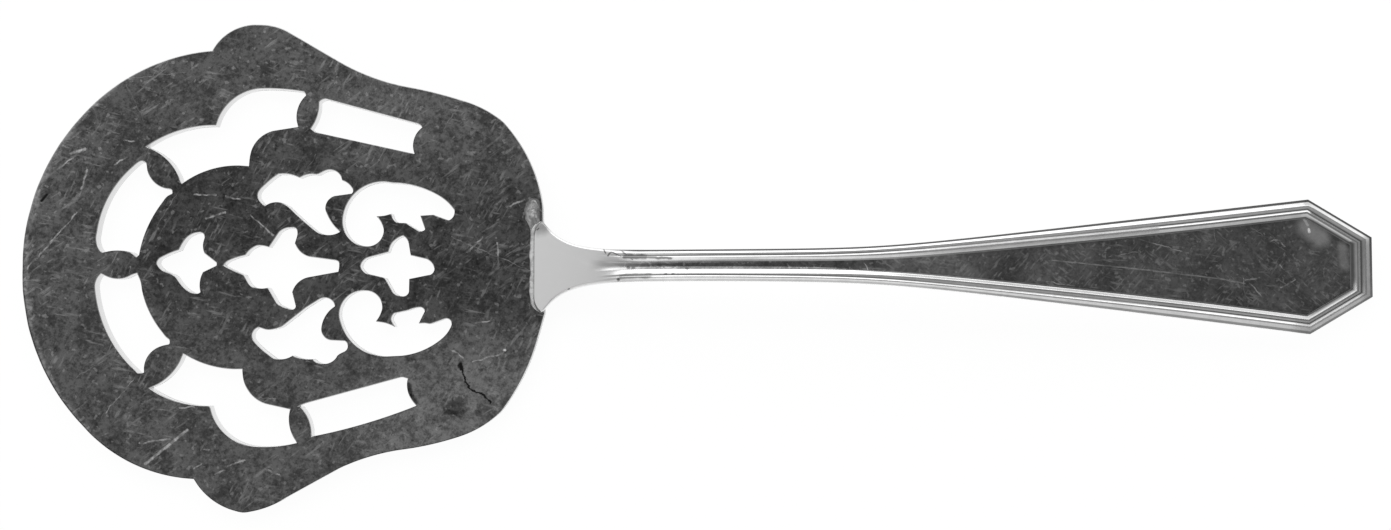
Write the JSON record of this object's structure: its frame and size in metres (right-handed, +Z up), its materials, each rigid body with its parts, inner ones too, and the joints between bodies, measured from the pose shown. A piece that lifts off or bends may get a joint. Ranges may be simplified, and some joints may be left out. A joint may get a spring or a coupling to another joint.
{
  "type": "cucumber server",
  "caption": "Flat round-fronted serving blade pierced with scrolls, leaves and slots, soldered under the heel of a slim arched handle with a reeded border and a sunk panel.",
  "frame": {"origin": "middle of the object's box in plan, on the surface that the blade lies on", "axes": "+X from the front edge of the blade to the tip of the handle, +Y across the blade to the upper side of the picture, +Z up out of the face of the blade"},
  "size_m": [0.1588, 0.0574, 0.0073],
  "materials": {
    "blade_silver": "worn polished silver sheet, dulled and mottled, with many fine scratches",
    "handle_silver": "worn polished silver, bright on the reeds and darker in the grooves",
    "solder": "bright run silver solder"
  },
  "bodies": {
    "root": {"blade": "blade_silver", "handle": "handle_silver", "solder_seam": "solder"}
  },
  "joints": []
}
